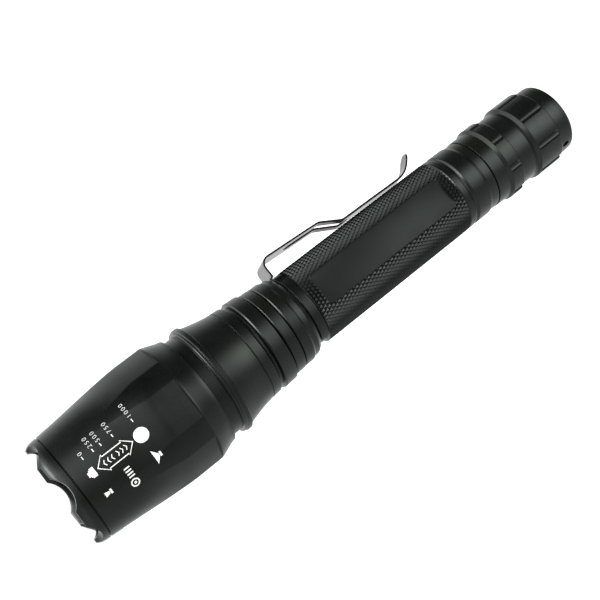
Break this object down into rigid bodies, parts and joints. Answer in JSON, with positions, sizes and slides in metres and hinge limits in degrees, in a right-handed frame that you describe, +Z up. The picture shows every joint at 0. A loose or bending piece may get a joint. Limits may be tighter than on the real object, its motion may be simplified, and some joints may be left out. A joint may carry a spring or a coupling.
{
  "type": "tactical flashlight",
  "caption": "Zoomable metal pocket torch with knurled grip, sliding lens head, crenellated bezel, steel pocket clip and a push switch in its screw-on tail cap.",
  "frame": {"origin": "centre of the tail cap's flat end face, on the tube's axis", "axes": "+Z up along the tube's axis from the tail to the lens, +Y towards the pocket clip, +X to the side of the tube that carries a milled flat"},
  "size_m": [0.0416, 0.0416, 0.2045],
  "materials": {
    "anodised_black": "satin",
    "aluminium_bare": "machined",
    "steel_spring": "polished",
    "brass_plain": "machined",
    "rubber_black": "matte",
    "lens_glass": "polished",
    "plastic_black": "moulded",
    "plastic_white": "moulded",
    "board_green": "varnished",
    "cell_wrap": "shrink wrap",
    "emitter_yellow": "smooth"
  },
  "bodies": {
    "tail": {"tail_cap": "anodised_black", "switch_boot": "rubber_black", "switch_spacer": "plastic_black", "switch_housing": "plastic_black", "switch_spring": "steel_spring", "switch_board": "board_green", "switch_retaining_ring": "brass_plain", "tail_spring": "steel_spring"},
    "button": {"switch_button": "plastic_white"},
    "cells": {"cell_rear": "cell_wrap", "cell_front": "cell_wrap"},
    "tube": {"battery_tube": "anodised_black", "tube_rear_seal": "rubber_black", "tube_front_seal": "rubber_black", "heatsink_neck": "anodised_black", "led_pill": "aluminium_bare", "slide_seal_rear": "rubber_black", "slide_seal_front": "rubber_black", "driver_board": "board_green", "driver_spring": "brass_plain", "led_wire_plus": "rubber_black", "led_wire_minus": "rubber_black", "led_board": "aluminium_bare", "led_emitter": "emitter_yellow", "led_collar": "plastic_white"},
    "head": {"zoom_head": "anodised_black", "lens": "lens_glass", "lens_gasket": "rubber_black", "bezel_ring": "anodised_black"},
    "clip_ring": {"clip_band": "steel_spring"},
    "clip": {"clip_blade": "steel_spring"}
  },
  "joints": [
    {"name": "switch_press", "type": "slide", "parent": "tail", "child": "button", "axis": [0, 0, 1], "range_m": [0, 0.0018], "stiffness_N_per_m": 1200, "springref_m": -0.001, "deforming": ["switch_spring"]},
    {"name": "tail_cap_travel", "type": "slide", "parent": "tail", "child": "cells", "axis": [0, 0, 1], "range_m": [0, 0.0075], "deforming": ["tail_spring"]},
    {"name": "tail_cap_turn", "type": "hinge", "parent": "cells", "child": "tube", "pos_m": [0, 0, 0.03], "axis": [0, 0, 1], "range_deg": [0, 2161]},
    {"name": "zoom_slide", "type": "slide", "parent": "tube", "child": "head", "axis": [0, 0, 1], "range_m": [0, 0.011]},
    {"name": "clip_swivel", "type": "hinge", "parent": "tube", "child": "clip_ring", "pos_m": [0, 0, 0.1127], "axis": [0, 0, 1], "continuous": true},
    {"name": "clip_flex", "type": "hinge", "parent": "clip_ring", "child": "clip", "pos_m": [0, 0.0136, 0.1136], "axis": [1, 0, 0], "range_deg": [0, 7], "stiffness_Nm_per_rad": 1.5, "springref_deg": -1.15}
  ],
  "couplings": [
    {"joint": "tail_cap_turn", "follows": "tail_cap_travel", "rad_per_m": 5026.5}
  ]
}
